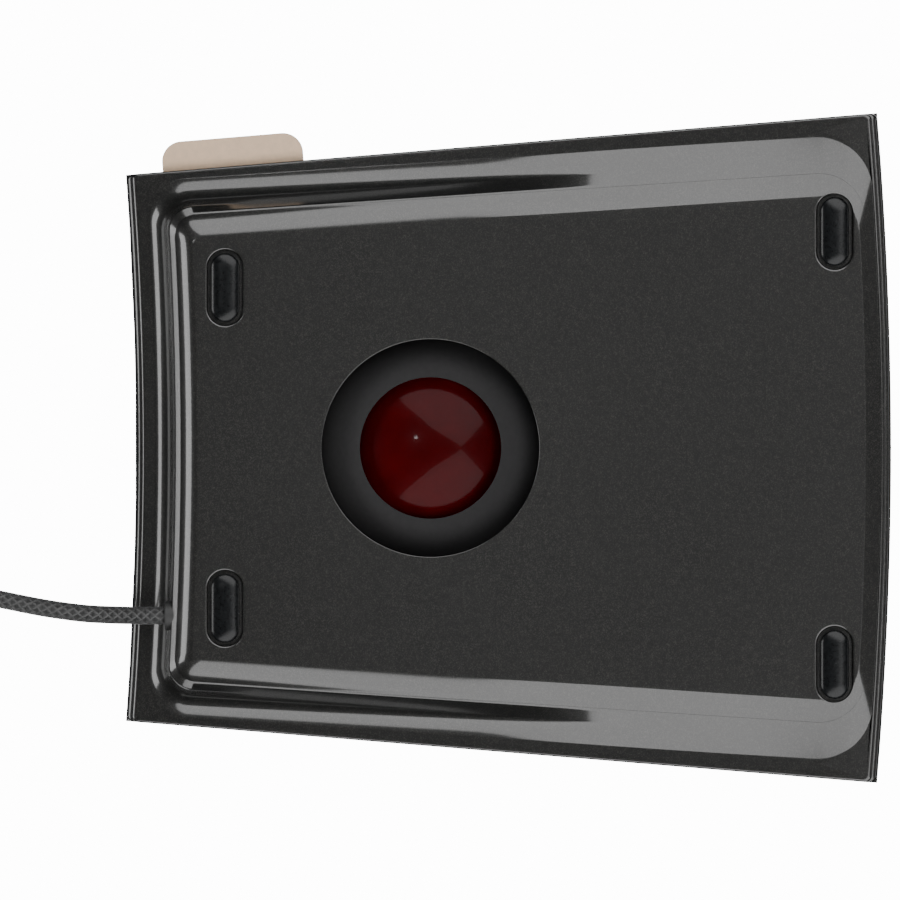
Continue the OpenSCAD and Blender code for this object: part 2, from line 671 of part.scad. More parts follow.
module sensor_boards() color([0.05, 0.3, 0.12]) for (s = [-1, 1]) at_sensor(s) difference() {
    translate([-6, -8, sensor_board_r]) cube([12, 16, 1]);
    for (y = [-6, 6]) translate([0, y, sensor_board_r - 1]) cylinder(d = small_screw_d + 0.2, h = 4, $fn = 32);
}
module sensor_chips() color([0.1, 0.1, 0.1]) for (s = [-1, 1]) at_sensor(s)
    translate([-4.5, -3, sensor_board_r - 1.8]) cube([9, 6, 1.8]);
module sensor_lenses() color([0.8, 0.85, 0.9]) for (s = [-1, 1]) at_sensor(s) {
    translate([0, 0, cup_in_r + 0.2]) cylinder(r = 2.95, h = cup_t);
    translate([0, 0, cup_in_r + 0.2 + cup_t]) cylinder(r = 2, h = 0.2);
}
module sensor_screws() color([0.6, 0.6, 0.6]) for (s = [-1, 1]) at_sensor(s)
    for (y = [-6, 6]) translate([0, y, sensor_board_r + 2.05]) rotate([180, 0, 0])
        screw(small_screw_d, 3.6, 1.7 * small_screw_d, 1);
// Flat leads that bend from the sensor boards over to the main board
module sensor_leads() color([0.15, 0.15, 0.15]) for (s = [-1, 1])
    profile_lead([for (i = [0:8]) let (a = 90 * i / 8) [s * (34.2 + 3.6 * sin(a)), 14.4 - 5.7 * (1 - cos(a))]]);
module profile_lead(line) {
    translate([0, ball_y + 4, 0]) rotate([90, 0, 0]) linear_extrude(8)
        polygon(concat(line, [for (i = [len(line) - 1:-1:0]) line[i] + [0, 0.5]]));
}

// ---- cord inside the case ----

CLAMP_T = 2.4;
CLAMP_Y = grommet_front + 0.3;
CLAMP_SCREW_X = cord_x - 4.6;
module cord_header() color([0.9, 0.9, 0.86])
    translate([cord_x - 4, board_back - 10, board_top]) cube([8, 6, 5]);
module inner_lead() color([0.1, 0.1, 0.1]) tube(smooth_route([[cord_x, grommet_front, cord_z],
    [cord_x, grommet_front - 3, cord_z + 0.5], [cord_x, board_back + 1, board_top + 2.4],
    [cord_x, board_back - 2.5, board_top + 3], [cord_x, board_back - 4, board_top + 3]], 4), cord_d * 0.8);
module cord_clamp() color([0.1, 0.1, 0.1]) difference() {
    translate([cord_x - 6.5, CLAMP_Y, base_z + pan_t + 0.05]) cube([10.5, CLAMP_T, 8]);
    translate([cord_x, CLAMP_Y - 1, cord_z]) rotate([-90, 0, 0]) cylinder(d = grommet_d - 1.2, h = CLAMP_T + 2);
    translate([CLAMP_SCREW_X, CLAMP_Y + CLAMP_T / 2, 0]) cylinder(d = small_screw_d, h = TALL, $fn = 32);
}
module clamp_screw() color([0.6, 0.6, 0.6])
    translate([CLAMP_SCREW_X, CLAMP_Y + CLAMP_T / 2, base_z + pan_t + 9.1]) rotate([180, 0, 0])
        screw(small_screw_d, 6.5, 1.5 * small_screw_d, 1);
module cord_grommet() color([0.06, 0.06, 0.06]) translate([cord_x, grommet_front, cord_z]) rotate([-90, 0, 0]) {
    translate([0, 0, NECK_L + 0.1]) cylinder(d = grommet_d, h = grommet_back - grommet_front - NECK_L - 0.1);
    cylinder(d = grommet_d - 1.3, h = NECK_L + 0.5);
}

// ---- label card ----

module card_guide() color([0.1, 0.1, 0.1]) {
    at_card() difference() {
        translate([3, -card_l / 2 - CARD_RIM, -GUIDE_T])
            cube([card_in + 0.5, card_l + 2 * CARD_RIM, card_t + 2 * card_gap + 2 * GUIDE_T]);
        translate([0, -card_l / 2 - card_gap, 0])
            cube([card_in + 5, card_l + 2 * card_gap, card_t + 2 * card_gap]);
    }
    for (y = leg_y) translate([LEG_IN - half_w(y), y, base_z + pan_t + 0.05])
        cylinder(r = 1.2, h = flange_z(y) + edge_t + CARD_UP - GUIDE_T / 2 - base_z - pan_t - 0.05, $fn = 32);
}
CARD_R = 4;
module label_card() color([0.8, 0.71, 0.66]) at_card() difference() {
    translate([-card_out, -card_l / 2, card_gap]) cube([card_out + card_in, card_l, card_t]);
    for (s = [-1, 1]) translate([-card_out, s * card_l / 2, 0]) difference() {
        translate([-CARD_R, -CARD_R, -1]) cube([2 * CARD_R, 2 * CARD_R, 4]);
        translate([CARD_R, -s * CARD_R, -2]) cylinder(r = CARD_R, h = 6);
    }
}

// ---- cord outside the case ----

coil_mid_r = 19.25;
coil_w = 14;
coil_at = [3.5, 137.9];
free_route = [[33.2, 68, 7], [33.2, 72, 6.6], [33.1, 77, 5], [32.8, 83, 3], [32.2, 88, 2], [31.4, 93, 1.8],
    [30.2, 99, 1.8], [29, 105, 1.8], [28.3, 111, 1.8], [28, 117, 1.8], [28, 122, 1.8], [28, 127, 1.8]];
tail_route = [[-14, 158.8, 11.6], [-20, 159.5, 9], [-26, 162.5, 6], [-29.5, 168, 4.4], [-28, 174.5, 4],
    [-22.5, 178, 4], [-16, 178.5, 4], [-12, 178.5, 4]];
plug_at = [-12, 178.5, 4];

module cord_lead() color([0.05, 0.05, 0.05]) {
    tube(smooth_route(free_route, 3), cord_d);
    tube(smooth_route(tail_route, 3), cord_d);
}
module cord_coil() color([0.05, 0.05, 0.05]) translate([coil_at.x, coil_at.y, 0.05])
    rotate_extrude() translate([coil_mid_r - coil_w / 2, 0]) square([coil_w, coil_w]);
module coil_tie() color([0.1, 0.1, 0.1]) translate([coil_at.x + coil_mid_r, coil_at.y - 4, 0])
    difference() {
        translate([-coil_w / 2 - 1.2, 0, 0]) cube([coil_w + 2.4, 8, coil_w + 1.3]);
        translate([-coil_w / 2 - 0.1, -1, 0.04]) cube([coil_w + 0.2, 10, coil_w + 0.05]);
    }

module at_plug() {
    translate(plug_at) children();
}
module plug_body() color([0.06, 0.06, 0.06]) at_plug() {
    translate([0.05, 0, 0]) rotate([0, 90, 0]) cylinder(d = 5.6, h = 8);
    translate([8, -7.9, -4]) cube([22, 15.8, 8]);
}
module plug_shell() color([0.75, 0.75, 0.77]) at_plug() difference() {
    translate([30, -6, -2.25]) cube([12, 12, 4.5]);
    translate([30.4, -5.7, -1.95]) cube([12, 11.4, 3.9]);
}
module plug_tongue() color([0.9, 0.9, 0.9]) at_plug() translate([30.45, -5.6, -1.85]) cube([11, 11.2, 1.8]);
module plug_contacts() color([0.85, 0.65, 0.3]) at_plug()
    for (y = [-3.5, -1, 1, 3.5]) translate([32, y - 0.5, -0.03]) cube([8.5, 1, 0.15]);

base_pan();
lower_case();
top_case();
key_front_left();
key_front_right();
key_rear_left();
key_rear_right();
key_hinge_pins();
bezel_ring();
bezel_screws();
ball();
ball_cup();
support_bearings();
cup_screws();
foot_front_left();
foot_front_right();
foot_rear_left();
foot_rear_right();
case_screws();
main_board();
board_screws();
controller_chip();
board_parts();
sounder();
micro_switches();
plunger_front_left();
plunger_front_right();
plunger_rear_left();
plunger_rear_right();
sensor_boards();
sensor_chips();
sensor_lenses();
sensor_screws();
sensor_leads();
cord_header();
inner_lead();
cord_clamp();
clamp_screw();
cord_grommet();
card_guide();
label_card();
cord_lead();
cord_coil();
coil_tie();
plug_body();
plug_shell();
plug_tongue();
plug_contacts();
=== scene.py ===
"""Builds the looks of a corded trackball mouse around its CAD frame."""

import json
import math

import bpy
import numpy as np
from mathutils import Matrix, Vector

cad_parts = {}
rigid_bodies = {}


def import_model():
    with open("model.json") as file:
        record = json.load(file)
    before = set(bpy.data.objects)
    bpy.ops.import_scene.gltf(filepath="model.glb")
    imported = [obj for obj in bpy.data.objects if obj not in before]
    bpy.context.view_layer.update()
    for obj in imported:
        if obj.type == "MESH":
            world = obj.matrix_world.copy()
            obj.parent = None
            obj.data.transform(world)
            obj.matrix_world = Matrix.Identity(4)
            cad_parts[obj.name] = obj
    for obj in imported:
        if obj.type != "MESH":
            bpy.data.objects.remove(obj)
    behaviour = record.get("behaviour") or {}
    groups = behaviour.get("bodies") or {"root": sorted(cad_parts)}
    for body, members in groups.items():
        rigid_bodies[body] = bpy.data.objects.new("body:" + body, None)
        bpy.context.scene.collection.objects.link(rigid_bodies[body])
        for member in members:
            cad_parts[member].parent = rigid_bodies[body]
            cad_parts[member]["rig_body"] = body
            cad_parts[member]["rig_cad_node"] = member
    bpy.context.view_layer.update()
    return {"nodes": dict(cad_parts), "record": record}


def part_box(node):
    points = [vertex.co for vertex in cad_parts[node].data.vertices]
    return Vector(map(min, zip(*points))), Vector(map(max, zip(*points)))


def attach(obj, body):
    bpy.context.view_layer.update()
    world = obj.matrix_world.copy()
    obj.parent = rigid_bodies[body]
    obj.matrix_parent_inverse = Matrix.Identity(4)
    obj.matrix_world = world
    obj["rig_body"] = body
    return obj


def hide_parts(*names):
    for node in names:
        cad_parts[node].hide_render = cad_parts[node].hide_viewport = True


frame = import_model()

bl_info = {
    "name": "Trackball mouse",
    "version": (1, 0, 0),
    "blender": (4, 5, 0),
    "location": "View3D > Sidebar > Trackball",
    "description": "Models the shells, ball, feet and braided lead of a trackball mouse",
    "category": "Object",
}

SIDES = (-1, 1)
ENDS = ("front", "rear")


def middle(node):
    """The centre of a CAD node's box."""
    low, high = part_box(node)
    return (low + high) / 2


BALL_AT = middle("ball")
HALF_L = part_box("top_case")[1].y
FLAT_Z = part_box("base_pan")[0].z


# ---- settings ----


class TrackballCase(bpy.types.PropertyGroup):
    """Sizes of the case shells, which the CAD model shares."""

    front_w: bpy.props.FloatProperty(
        name="Front width", description="Width across the front corners", default=0.1326, unit="LENGTH")
    rear_w: bpy.props.FloatProperty(
        name="Rear width", description="Width across the rear corners", default=0.1086, unit="LENGTH")
    front_bow: bpy.props.FloatProperty(
        name="Front bow", description="How far the front edge bows out", default=0.0028, unit="LENGTH")
    rear_bow: bpy.props.FloatProperty(
        name="Rear bow", description="How far the rear edge bows in", default=0.002, unit="LENGTH")
    pan_in_rear: bpy.props.FloatProperty(
        name="Pan inset at the rear", description="Case edge to the pan's flat", default=0.0136,
        unit="LENGTH")
    pan_in_front: bpy.props.FloatProperty(
        name="Pan inset at the front", description="Case edge to the pan's flat", default=0.0159,
        unit="LENGTH")
    pan_back: bpy.props.FloatProperty(
        name="Pan behind", description="Rear edge to the pan's flat", default=0.0126, unit="LENGTH")
    pan_fore: bpy.props.FloatProperty(
        name="Pan in front", description="Front edge to the pan's flat", default=0.008, unit="LENGTH")
    run_side: bpy.props.FloatProperty(
        name="Side step", description="Plan width of the step wall at the sides", default=0.012,
        unit="LENGTH")
    run_rear: bpy.props.FloatProperty(
        name="Rear step", description="Plan width of the step wall at the rear", default=0.0087,
        unit="LENGTH")
    run_fore: bpy.props.FloatProperty(
        name="Front step", description="Plan width of the step wall in front", default=0.003, unit="LENGTH")
    step_h: bpy.props.FloatProperty(
        name="Step height", description="Flange above the pan at the rear", default=0.0125, unit="LENGTH")
    front_step: bpy.props.FloatProperty(
        name="Front step height", description="Flange above the pan in front", default=0.0012,
        unit="LENGTH")
    step_start: bpy.props.FloatProperty(
        name="Step start", description="Where the step starts to rise", default=0.0085, unit="LENGTH")
    rim_r: bpy.props.FloatProperty(
        name="Rim radius", description="Radius of the pan's rounded rim", default=0.0069, unit="LENGTH")
    fillet_r: bpy.props.FloatProperty(
        name="Fillet radius", description="Fillet under the flange", default=0.0049, unit="LENGTH")
    hole_r: bpy.props.FloatProperty(
        name="Ball opening", description="Radius of the pan's opening", default=0.0215, unit="LENGTH")


class TrackballFinish(bpy.types.PropertyGroup):
    """Colours and grain of the finishes."""

    case_colour: bpy.props.FloatVectorProperty(
        name="Case", description="Colour of the case", default=(0.0045, 0.0044, 0.004), subtype="COLOR")
    flake_colour: bpy.props.FloatVectorProperty(
        name="Flake", description="Colour of the flakes", default=(0.024, 0.0232, 0.021), subtype="COLOR")
    flake_size: bpy.props.FloatProperty(
        name="Flake size", description="Size of one flake", default=0.00016, unit="LENGTH")
    ball_colour: bpy.props.FloatVectorProperty(
        name="Ball", description="Colour of the ball", default=(0.042, 0.0005, 0.0012), subtype="COLOR")
    card_colour: bpy.props.FloatVectorProperty(
        name="Card", description="Colour of the label card", default=(0.95, 0.68, 0.46), subtype="COLOR")


class TrackballCord(bpy.types.PropertyGroup):
    """Sizes of the braided lead."""

    diameter: bpy.props.FloatProperty(
        name="Diameter", description="Diameter of the lead", default=0.0035, unit="LENGTH")
    length: bpy.props.FloatProperty(
        name="Length", description="Length of the lead", default=1.8, unit="LENGTH")
    turns: bpy.props.FloatProperty(
        name="Turns", description="Turns in the stored coil", default=14.25)


# ---- materials ----


class Finish:
    """A new material with its Principled shader, and short calls that add nodes."""

    def __init__(self, name):
        self.material = bpy.data.materials.new(name)
        self.material.use_nodes = True
        self.nodes = self.material.node_tree.nodes
        self.links = self.material.node_tree.links
        self.shader = self.nodes["Principled BSDF"]

    def set(self, **values):
        for name, value in values.items():
            self.shader.inputs[name.replace("_", " ")].default_value = value
        return self

    def add(self, kind, **values):
        node = self.nodes.new(kind)
        for name, value in values.items():
            if name in node.inputs:
                node.inputs[name].default_value = value
            else:
                setattr(node, name, value)
        return node

    def coords(self, source="Object", scale=(1, 1, 1)):
        mapping = self.add("ShaderNodeMapping", Scale=scale)
        self.links.new(self.add("ShaderNodeTexCoord").outputs[source], mapping.inputs["Vector"])
        return mapping.outputs["Vector"]

    def noise(self, vector, scale, detail=3.0, roughness=0.5):
        node = self.add("ShaderNodeTexNoise", Scale=scale, Detail=detail, Roughness=roughness)
        self.links.new(vector, node.inputs["Vector"])
        return node.outputs["Fac"]

    def ramp(self, value, *stops):
        node = self.add("ShaderNodeValToRGB")
        elements = node.color_ramp.elements
        while len(elements) < len(stops):
            elements.new(0.5)
        for element, (place, colour) in zip(elements, stops, strict=True):
            element.position = place
            element.color = (*colour, 1) if len(colour) == 3 else colour
        self.links.new(value, node.inputs["Fac"])
        return node.outputs["Color"]

    def range(self, value, low, high):
        node = self.add("ShaderNodeMapRange")
        node.inputs["To Min"].default_value = low
        node.inputs["To Max"].default_value = high
        self.links.new(value, node.inputs["Value"])
        return node.outputs["Result"]

    def bump(self, height, distance, strength=1.0):
        node = self.add("ShaderNodeBump", Strength=strength, Distance=distance)
        self.links.new(height, node.inputs["Height"])
        return node.outputs["Normal"]

    def plug(self, output, socket):
        self.links.new(output, self.shader.inputs[socket])
        return self


def grey(value):
    return (value, value, value)


def case_finish(finish):
    """Dark metal-flake plastic under a clear gloss coat."""
    f = Finish("metal_flake_plastic")
    place = f.coords()
    cells = f.add("ShaderNodeTexVoronoi", Scale=1 / finish.flake_size, Randomness=1.0)
    f.links.new(place, cells.inputs["Vector"])
    split = f.add("ShaderNodeSeparateColor")
    f.links.new(cells.outputs["Color"], split.inputs["Color"])
    flakes = f.ramp(split.outputs["Red"], (0.0, finish.case_colour), (0.55, finish.case_colour),
                    (1.0, finish.flake_colour))
    cloud = f.ramp(f.noise(place, 900.0, 4.0), (0.3, grey(0.75)), (0.7, grey(1.25)))
    mix = f.add("ShaderNodeMix", data_type="RGBA", blend_type="MULTIPLY")
    mix.inputs["Factor"].default_value = 1.0
    f.links.new(flakes, mix.inputs["A"])
    f.links.new(cloud, mix.inputs["B"])
    f.plug(mix.outputs["Result"], "Base Color")
    f.plug(f.range(split.outputs["Green"], 0.36, 0.5), "Roughness")
    f.plug(f.bump(f.noise(place, 2600.0, 2.0), 0.00002, 0.5), "Normal")
    f.set(Metallic=0.25, Specular_IOR_Level=0.28, Coat_Weight=1.0, Coat_Roughness=0.12, Coat_IOR=1.47)
    return f.material


def plain_plastic(name, colour, roughness, coat=0.0, grain=0.00001):
    """Moulded plastic with a fine grain and uneven gloss."""
    f = Finish(name)
    place = f.coords()
    dark = tuple(0.85 * c for c in colour)
    light = tuple(min(1, 1.12 * c) for c in colour)
    f.plug(f.ramp(f.noise(place, 350.0, 4.0), (0.3, dark), (0.7, light)), "Base Color")
    f.plug(f.range(f.noise(place, 900.0), roughness - 0.05, roughness + 0.07), "Roughness")
    f.plug(f.bump(f.noise(place, 5000.0, 2.0), grain, 0.6), "Normal")
    f.set(Coat_Weight=coat, Coat_Roughness=0.1)
    return f.material


def rubber():
    """Smooth black rubber with a soft shine and fine dust."""
    f = Finish("foot_rubber")
    place = f.coords()
    dark, dusty = (0.004, 0.0045, 0.005), (0.011, 0.012, 0.013)
    f.plug(f.ramp(f.noise(place, 1400.0, 5.0), (0.35, dark), (0.8, dusty)), "Base Color")
    f.plug(f.range(f.noise(place, 700.0), 0.2, 0.3), "Roughness")
    f.plug(f.bump(f.noise(place, 3000.0), 0.00001, 0.4), "Normal")
    f.set(Specular_IOR_Level=0.2)
    return f.material


def resin(finish):
    """Polished dark red resin with faint pearl clouds under a thin clear skin."""
    f = Finish("red_resin")
    place = f.coords()
    deep = finish.ball_colour
    bright = tuple(min(1, 2.2 * c + 0.001) for c in deep)
    f.plug(f.ramp(f.noise(place, 60.0, 6.0, 0.62), (0.3, deep), (0.85, bright)), "Base Color")
    f.plug(f.range(f.noise(place, 2500.0), 0.2, 0.28), "Roughness")
    f.set(Specular_IOR_Level=0.03, Coat_Weight=0.06, Coat_Roughness=0.04)
    f.set(Subsurface_Weight=0.3, Subsurface_Scale=0.004, Subsurface_Radius=(1.0, 0.05, 0.05))
    return f.material


def braid(name, around, pitch):
    """Braided sleeve: two sets of strands wound opposite ways, along the piece's own UV map, with painted
    shade in the grooves between the strands.
    """
    f = Finish(name)
    mapping = f.add("ShaderNodeMapping")
    f.links.new(f.add("ShaderNodeUVMap").outputs["UV"], mapping.inputs["Vector"])
    mapping.inputs["Scale"].default_value = (around, pitch, 1)
    waves = []
    for turn in SIDES:
        rotated = f.add("ShaderNodeMapping", Rotation=(0, 0, turn * math.pi / 4))
        f.links.new(mapping.outputs["Vector"], rotated.inputs["Vector"])
        wave = f.add("ShaderNodeTexWave", Scale=0.45, Distortion=0.0)
        f.links.new(rotated.outputs["Vector"], wave.inputs["Vector"])
        waves.append(wave.outputs["Fac"])
    cross = f.add("ShaderNodeMath", operation="MAXIMUM")
    f.links.new(waves[0], cross.inputs[0])
    f.links.new(waves[1], cross.inputs[1])
    height = cross.outputs[0]
    # Colour follows the strand height: near black in the grooves between the strands, which is painted
    # shade, and the yarn's own dark grey on the crests.
    f.plug(f.ramp(height, (0.2, grey(0.002)), (0.75, grey(0.012)), (1.0, grey(0.035))), "Base Color")
    f.plug(f.range(height, 0.75, 0.5), "Roughness")
    f.plug(f.bump(height, 0.00025, 1.0), "Normal")
    f.set(Sheen_Weight=0.15, Sheen_Roughness=0.5)
    return f.material


def card_stock(finish):
    """Beige card with a fine fibre."""
    f = Finish("beige_card")
    place = f.coords()
    base = finish.card_colour
    f.plug(f.ramp(f.noise(place, 700.0, 6.0, 0.6), (0.3, tuple(0.93 * c for c in base)),
                  (0.75, tuple(min(1, 1.05 * c) for c in base))), "Base Color")
    f.plug(f.range(f.noise(place, 300.0), 0.5, 0.62), "Roughness")
    f.plug(f.bump(f.noise(place, 2500.0, 4.0), 0.00002, 0.5), "Normal")
    return f.material


def metal(name, colour, roughness):
    """Plated metal with fine drawn lines."""
    f = Finish(name)
    place = f.coords(scale=(1, 14, 1))
    f.plug(f.ramp(f.noise(place, 500.0, 4.0), (0.3, tuple(0.85 * c for c in colour)), (0.7, colour)),
           "Base Color")
    f.plug(f.range(f.noise(place, 900.0), roughness - 0.05, roughness + 0.1), "Roughness")
    f.plug(f.bump(f.noise(place, 2200.0), 0.000004, 0.5), "Normal")
    f.set(Metallic=1.0)
    return f.material


def board_finish():
    """Green solder mask over copper tracks."""
    f = Finish("solder_mask")
    place = f.coords()
    brick = f.add("ShaderNodeTexBrick", Scale=160.0, offset=0.5)
    brick.inputs["Color1"].default_value = (0.004, 0.07, 0.02, 1)
    brick.inputs["Color2"].default_value = (0.005, 0.1, 0.03, 1)
    brick.inputs["Mortar"].default_value = (0.02, 0.17, 0.06, 1)
    f.links.new(place, brick.inputs["Vector"])
    f.plug(brick.outputs["Color"], "Base Color")
    f.plug(f.range(f.noise(place, 600.0), 0.25, 0.4), "Roughness")
    f.plug(f.bump(brick.outputs["Fac"], 0.00004, 0.5), "Normal")
    return f.material


def clear_lens():
    """Clear moulded lens."""
    f = Finish("clear_lens")
    place = f.coords()
    f.plug(f.range(f.noise(place, 800.0), 0.02, 0.06), "Roughness")
    f.set(Base_Color=(0.9, 0.94, 1, 1), Transmission_Weight=0.9, IOR=1.49)
    return f.material


MATERIALS = {}


def make_materials(finish):
    MATERIALS.update(
        case=case_finish(finish),
        cup=plain_plastic("cup_plastic", (0.003, 0.0026, 0.003), 0.85),
        bezel=plain_plastic("bezel_plastic", (0.012, 0.012, 0.012), 0.28, 0.6),
        ball=resin(finish),
        rubber=rubber(),
        grommet=plain_plastic("grommet_rubber", grey(0.008), 0.6, 0.0, 0.00002),
        black=plain_plastic("black_nylon", grey(0.015), 0.5),
        plug=plain_plastic("plug_overmould", grey(0.012), 0.55, 0.0, 0.00004),
        white=plain_plastic("white_nylon", (0.7, 0.69, 0.65), 0.45),
        red=plain_plastic("plunger_nylon", (0.45, 0.03, 0.02), 0.4),
        braid=braid("braided_sleeve", 6.0, 900.0),
        strap=braid("hook_strap", 3.0, 20.0),
        card=card_stock(finish),
        steel=metal("zinc_steel", (0.62, 0.62, 0.64), 0.32),
        shell=metal("plug_plating", (0.75, 0.75, 0.78), 0.2),
        gold=metal("gold_plating", (0.9, 0.62, 0.25), 0.22),
        tin=metal("tinned_part", (0.5, 0.42, 0.28), 0.4),
        ruby=plain_plastic("ruby_bearing", (0.5, 0.02, 0.06), 0.12, 0.8),
        board=board_finish(),
        lens=clear_lens(),
    )


def dress(piece, key):
    piece.data.materials.clear()
    piece.data.materials.append(MATERIALS[key])
    return piece


# ---- plan and profile of the step wall ----


class Plan:
    """Plan loops of the case and of its step wall, all with the same count of points."""

    CORNER = 18          # steps round a corner
    EDGE = 30            # and along an edge
    CORNER_R = 0.0012
    REAR_ZONE = (0.02, 0.04)    # where the rear bow starts, and how long it takes to build up
    FORE_ZONE = (0.04, 0.025)   # the same for the front bow

    def __init__(self, case):
        self.c = case
        self.slope = (case.front_w - case.rear_w) / 2 / (2 * HALF_L - case.front_bow)

    def half_w(self, y):
        return self.c.rear_w / 2 + (HALF_L - y) * self.slope

    def bowed(self, p):
        bow = max(0, 1 - (p.x / self.half_w(p.y)) ** 2)
        back = min(1, max(0, (p.y - self.REAR_ZONE[0]) / self.REAR_ZONE[1]))
        fore = min(1, max(0, (-p.y - self.FORE_ZONE[0]) / self.FORE_ZONE[1]))
        return Vector((p.x, p.y - (self.c.rear_bow * back + self.c.front_bow * fore) * bow))

    def loop(self, side_rear, side_front, back, fore, rear_r, front_r):
        """Points round the plan, from insets at the sides, the rear and the front."""
        y_back, y_fore = HALF_L - back, -HALF_L + self.c.front_bow + fore

        def corner_x(y):
            share = (HALF_L - y) / (2 * HALF_L)
            return self.half_w(y) - side_rear - (side_front - side_rear) * share

        corners = [Vector((s * corner_x(y), y)) for s, y in
                   ((1, y_back), (-1, y_back), (-1, y_fore), (1, y_fore))]
        radii = (rear_r, rear_r, front_r, front_r)
        arcs = [self.arc(corners[k - 1], corners[k], corners[(k + 1) % 4], radii[k]) for k in range(4)]
        points = []
        for k in range(4):
            start, end = arcs[k][-1], arcs[(k + 1) % 4][0]
            points += arcs[k] + [start.lerp(end, i / self.EDGE) for i in range(1, self.EDGE)]
        return [self.bowed(p) for p in points]

    def arc(self, a, p, b, r):
        u, v = (a - p).normalized(), (b - p).normalized()
        half = math.acos(max(-1, min(1, u.dot(v)))) / 2
        centre = p + (u + v).normalized() * r / math.sin(half)
        start = p + u * r / math.tan(half) - centre
        turn = math.pi - 2 * half
        return [centre + Matrix.Rotation(turn * i / self.CORNER, 2) @ start for i in range(self.CORNER + 1)]

    def outline(self, side=0.0, end=0.0):
        return self.loop(side, side, end, end, self.CORNER_R - side, self.CORNER_R - side)

    def wall(self, f):
        """Plan loop of the step wall at f, from 0 at the pan's flat to 1 at the flange."""
        c = self.c
        return self.loop(c.pan_in_rear - f * c.run_side, c.pan_in_front - f * c.run_side,
                         c.pan_back - f * c.run_rear, c.pan_fore - c.front_bow - f * c.run_fore,
                         max(0.0006, 0.002 + 0.0064 * f), 0.007 + 0.003 * f)


class Profile:
    """Height of the step wall across its plan width."""

    REF = 0.011          # step height at which the rim and fillet have their true radii
    RIM, WALL, FILLET = 0.385, 0.42, 0.61
    REAR_WALL = 0.53     # at the rear the ledge is wider and the wall above it steeper
    LEDGE_RISE = 0.55    # slope of that ledge
    EASE = (0.01, -0.03)  # from here to here the steep wall eases into a ramp
    REAR_RAMP = 0.12     # share of the ramp behind that
    REAR_BLEND = (-0.0195, 0.004)  # where the rear shape starts, from the rear edge, and how long it takes
    BLUR, REACH = 8.0, 24  # rounding of the profile's corners, in its own fine steps

    def __init__(self, case):
        self.c = case
        self.fine = np.linspace(-0.3, 1.3, 1601)
        self.side = self.blurred(self.side_rise)
        self.rear = self.blurred(self.rear_rise)
        self.ramp = self.blurred(lambda f: min(1, max(0, f)))

    def blurred(self, rise):
        raw = np.array([rise(f) for f in self.fine])
        kernel = np.exp(-0.5 * (np.arange(-self.REACH, self.REACH + 1) / self.BLUR) ** 2)
        return np.convolve(np.pad(raw, self.REACH, mode="edge"), kernel / kernel.sum(), "valid")

    def arcs(self, f):
        """Rise along the rim's arc and fall along the fillet's."""
        c = self.c
        rim = c.rim_r - math.sqrt(c.rim_r ** 2 - (min(f, self.RIM) * c.run_side) ** 2)
        back = (1 - max(f, self.FILLET)) * c.run_side
        fall = c.fillet_r - math.sqrt(max(0, c.fillet_r ** 2 - back ** 2))
        return rim / self.REF, 1 - fall / self.REF

    def side_rise(self, f):
        f = min(1, max(0, f))
        rim, fall = self.arcs(f)
        if f <= self.WALL:
            return rim
        if f >= self.FILLET:
            return fall
        return rim + (fall - rim) * (f - self.WALL) / (self.FILLET - self.WALL)

    def rear_rise(self, f):
        f = min(1, max(0, f))
        rim, fall = self.arcs(f)
        if f <= self.RIM:
            return rim
        ledge = rim + self.LEDGE_RISE * (min(f, self.REAR_WALL) - self.RIM)
        if f >= self.FILLET:
            return fall
        return ledge + (fall - ledge) * max(0, f - self.REAR_WALL) / (self.FILLET - self.REAR_WALL)

    def rise(self, f, y):
        def mixed(a, b, t):
            t = min(1, max(0, t))
            return a + (b - a) * t * t * (3 - 2 * t)

        steep = mixed(np.interp(f, self.fine, self.side), np.interp(f, self.fine, self.rear),
                      (y - HALF_L - self.REAR_BLEND[0]) / self.REAR_BLEND[1])
        share = mixed(self.REAR_RAMP, 1, (self.EASE[0] - y) / (self.EASE[0] - self.EASE[1]))
        return float(steep * (1 - share) + np.interp(f, self.fine, self.ramp) * share)

    def step(self, y):
        start = -HALF_L + self.c.step_start
        share = max(0.0, y - start) / (HALF_L - start)
        return self.c.front_step + (self.c.step_h - self.c.front_step) * share

    def z(self, f, y):
        return FLAT_Z + self.step(y) * self.rise(f, y)


def flat_loop(points, z):
    return [Vector((p.x, p.y, z)) for p in points]


def wall_ring(plan, profile, f, lift=0.0, at=None):
    """The step wall's ring at f. With at, it takes its height from another place on the wall."""
    return [Vector((p.x, p.y, profile.z(f if at is None else at, p.y) + lift)) for p in plan.wall(f)]


def stadium(at, spread, r, z, steps=64):
    """A ring with round ends along X, whose centres are spread apart."""
    turns = [2 * math.pi * (k + 0.5) / steps for k in range(steps)]
    return [Vector((at.x + math.copysign(spread, math.cos(a)) + r * math.cos(a), at.y + r * math.sin(a), z))
            for a in turns]


# ---- mesh helpers ----


def clear_selection():
    if bpy.context.object and bpy.context.object.mode != "OBJECT":
        bpy.ops.object.mode_set(mode="OBJECT")
    bpy.ops.object.select_all(action="DESELECT")


def pick(*objects):
    clear_selection()
    for o in objects:
        o.select_set(True)
    bpy.context.view_layer.objects.active = objects[0]


def settle(piece, name):
    """Puts the piece's place into its mesh and names it."""
    pick(piece)
    bpy.ops.object.transform_apply(location=True, rotation=True, scale=True)
    piece.name = name
    piece.data.name = name
    return piece


def modify(piece, kind, **values):
    """Adds a modifier and applies it."""
    pick(piece)
    modifier = piece.modifiers.new(kind.lower(), kind)
    for name, value in values.items():
        setattr(modifier, name, value)
    bpy.ops.object.modifier_apply(modifier=modifier.name)
    return piece


